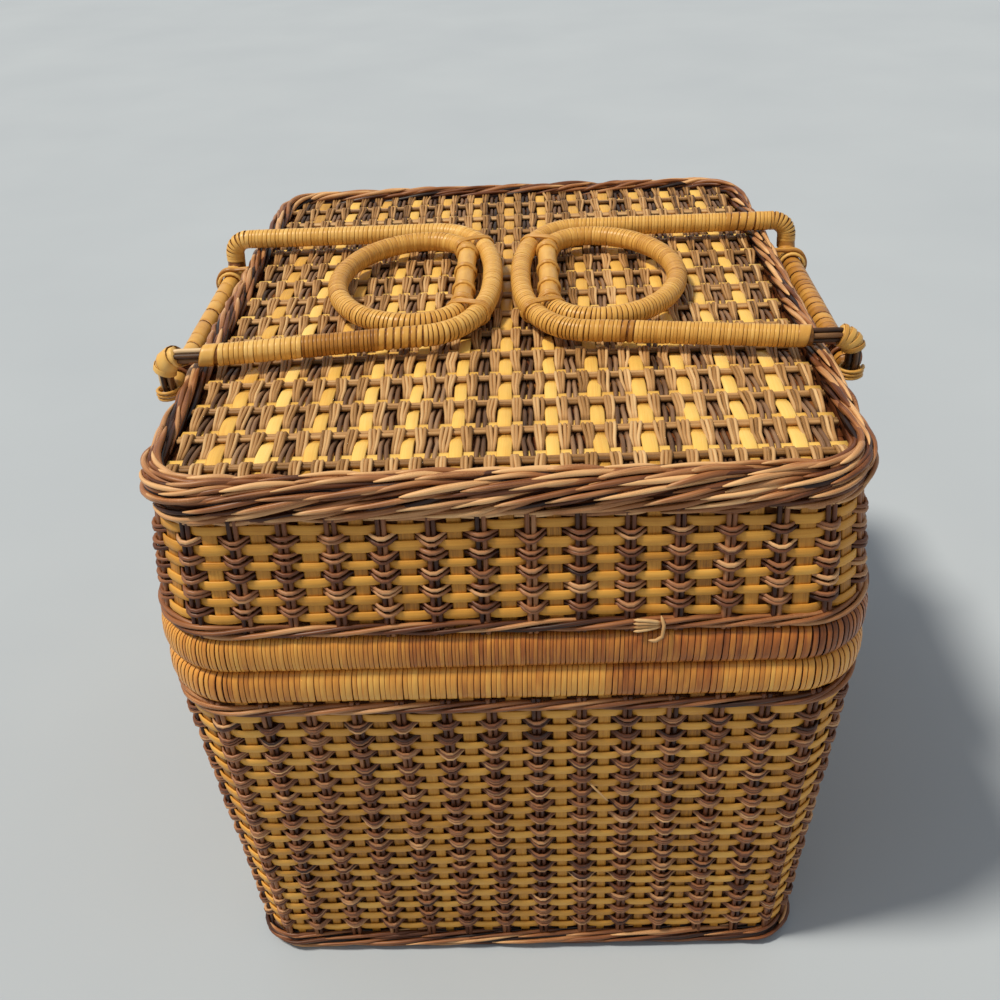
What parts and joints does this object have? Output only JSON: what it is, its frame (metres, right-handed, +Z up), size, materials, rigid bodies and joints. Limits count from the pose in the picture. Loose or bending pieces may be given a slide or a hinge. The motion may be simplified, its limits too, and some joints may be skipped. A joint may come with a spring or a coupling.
{
  "type": "picnic basket",
  "caption": "Woven wicker picnic hamper with a tapered body, a deep hinged box lid, cane-bound rims and swing handles that fold over the lid.",
  "frame": {"origin": "centre of the base's underside, on the floor", "axes": "+Z up, +Y from the front to the hinged back along the longer side, +X to the right"},
  "size_m": [0.4182, 0.4833, 0.3836],
  "materials": {
    "splint": "flat yellow rattan splint, satin",
    "reed": "brown stained round reed, satin",
    "hoop_rattan": "split rattan, matt",
    "rim_cane": "wound cane, aged amber, satin",
    "handle_cane": "wound cane, golden, satin",
    "core_reed": "bare bundled reed, matt"
  },
  "bodies": {
    "basket_body": {"base_panel": "splint", "foot_border": "reed", "body_wall": "splint", "body_stakes": "reed", "body_outer_hoop": "hoop_rattan", "body_inner_hoop": "hoop_rattan", "body_rim_binding": "rim_cane", "left_body_hinge": "reed", "right_body_hinge": "reed"},
    "lid": {"lid_wall": "splint", "lid_stakes": "reed", "lid_outer_hoop": "hoop_rattan", "lid_inner_hoop": "hoop_rattan", "lid_rim_binding": "rim_cane", "lid_top_border": "reed", "lid_top_lattice": "splint", "left_lid_hinge": "reed", "right_lid_hinge": "reed", "left_front_eye": "reed", "left_rear_eye": "reed", "right_front_eye": "reed", "right_rear_eye": "reed"},
    "left_handle": {"left_handle_frame": "handle_cane", "left_grip_ring": "handle_cane", "left_core_reeds": "core_reed", "left_elbow_wrap": "handle_cane"},
    "right_handle": {"right_handle_frame": "handle_cane", "right_grip_ring": "handle_cane", "right_core_reeds": "core_reed", "right_elbow_wrap": "handle_cane"}
  },
  "joints": [
    {"name": "lid_hinge", "type": "hinge", "parent": "basket_body", "child": "lid", "pos_m": [0, 0.2418, 0.25615], "axis": [-1, 0, 0], "range_deg": [0, 105]},
    {"name": "left_handle_swing", "type": "hinge", "parent": "lid", "child": "left_handle", "pos_m": [-0.1977, 0, 0.3531], "axis": [0, -1, 0], "range_deg": [0, 190]},
    {"name": "right_handle_swing", "type": "hinge", "parent": "lid", "child": "right_handle", "pos_m": [0.1977, 0, 0.3531], "axis": [0, 1, 0], "range_deg": [0, 190]}
  ]
}
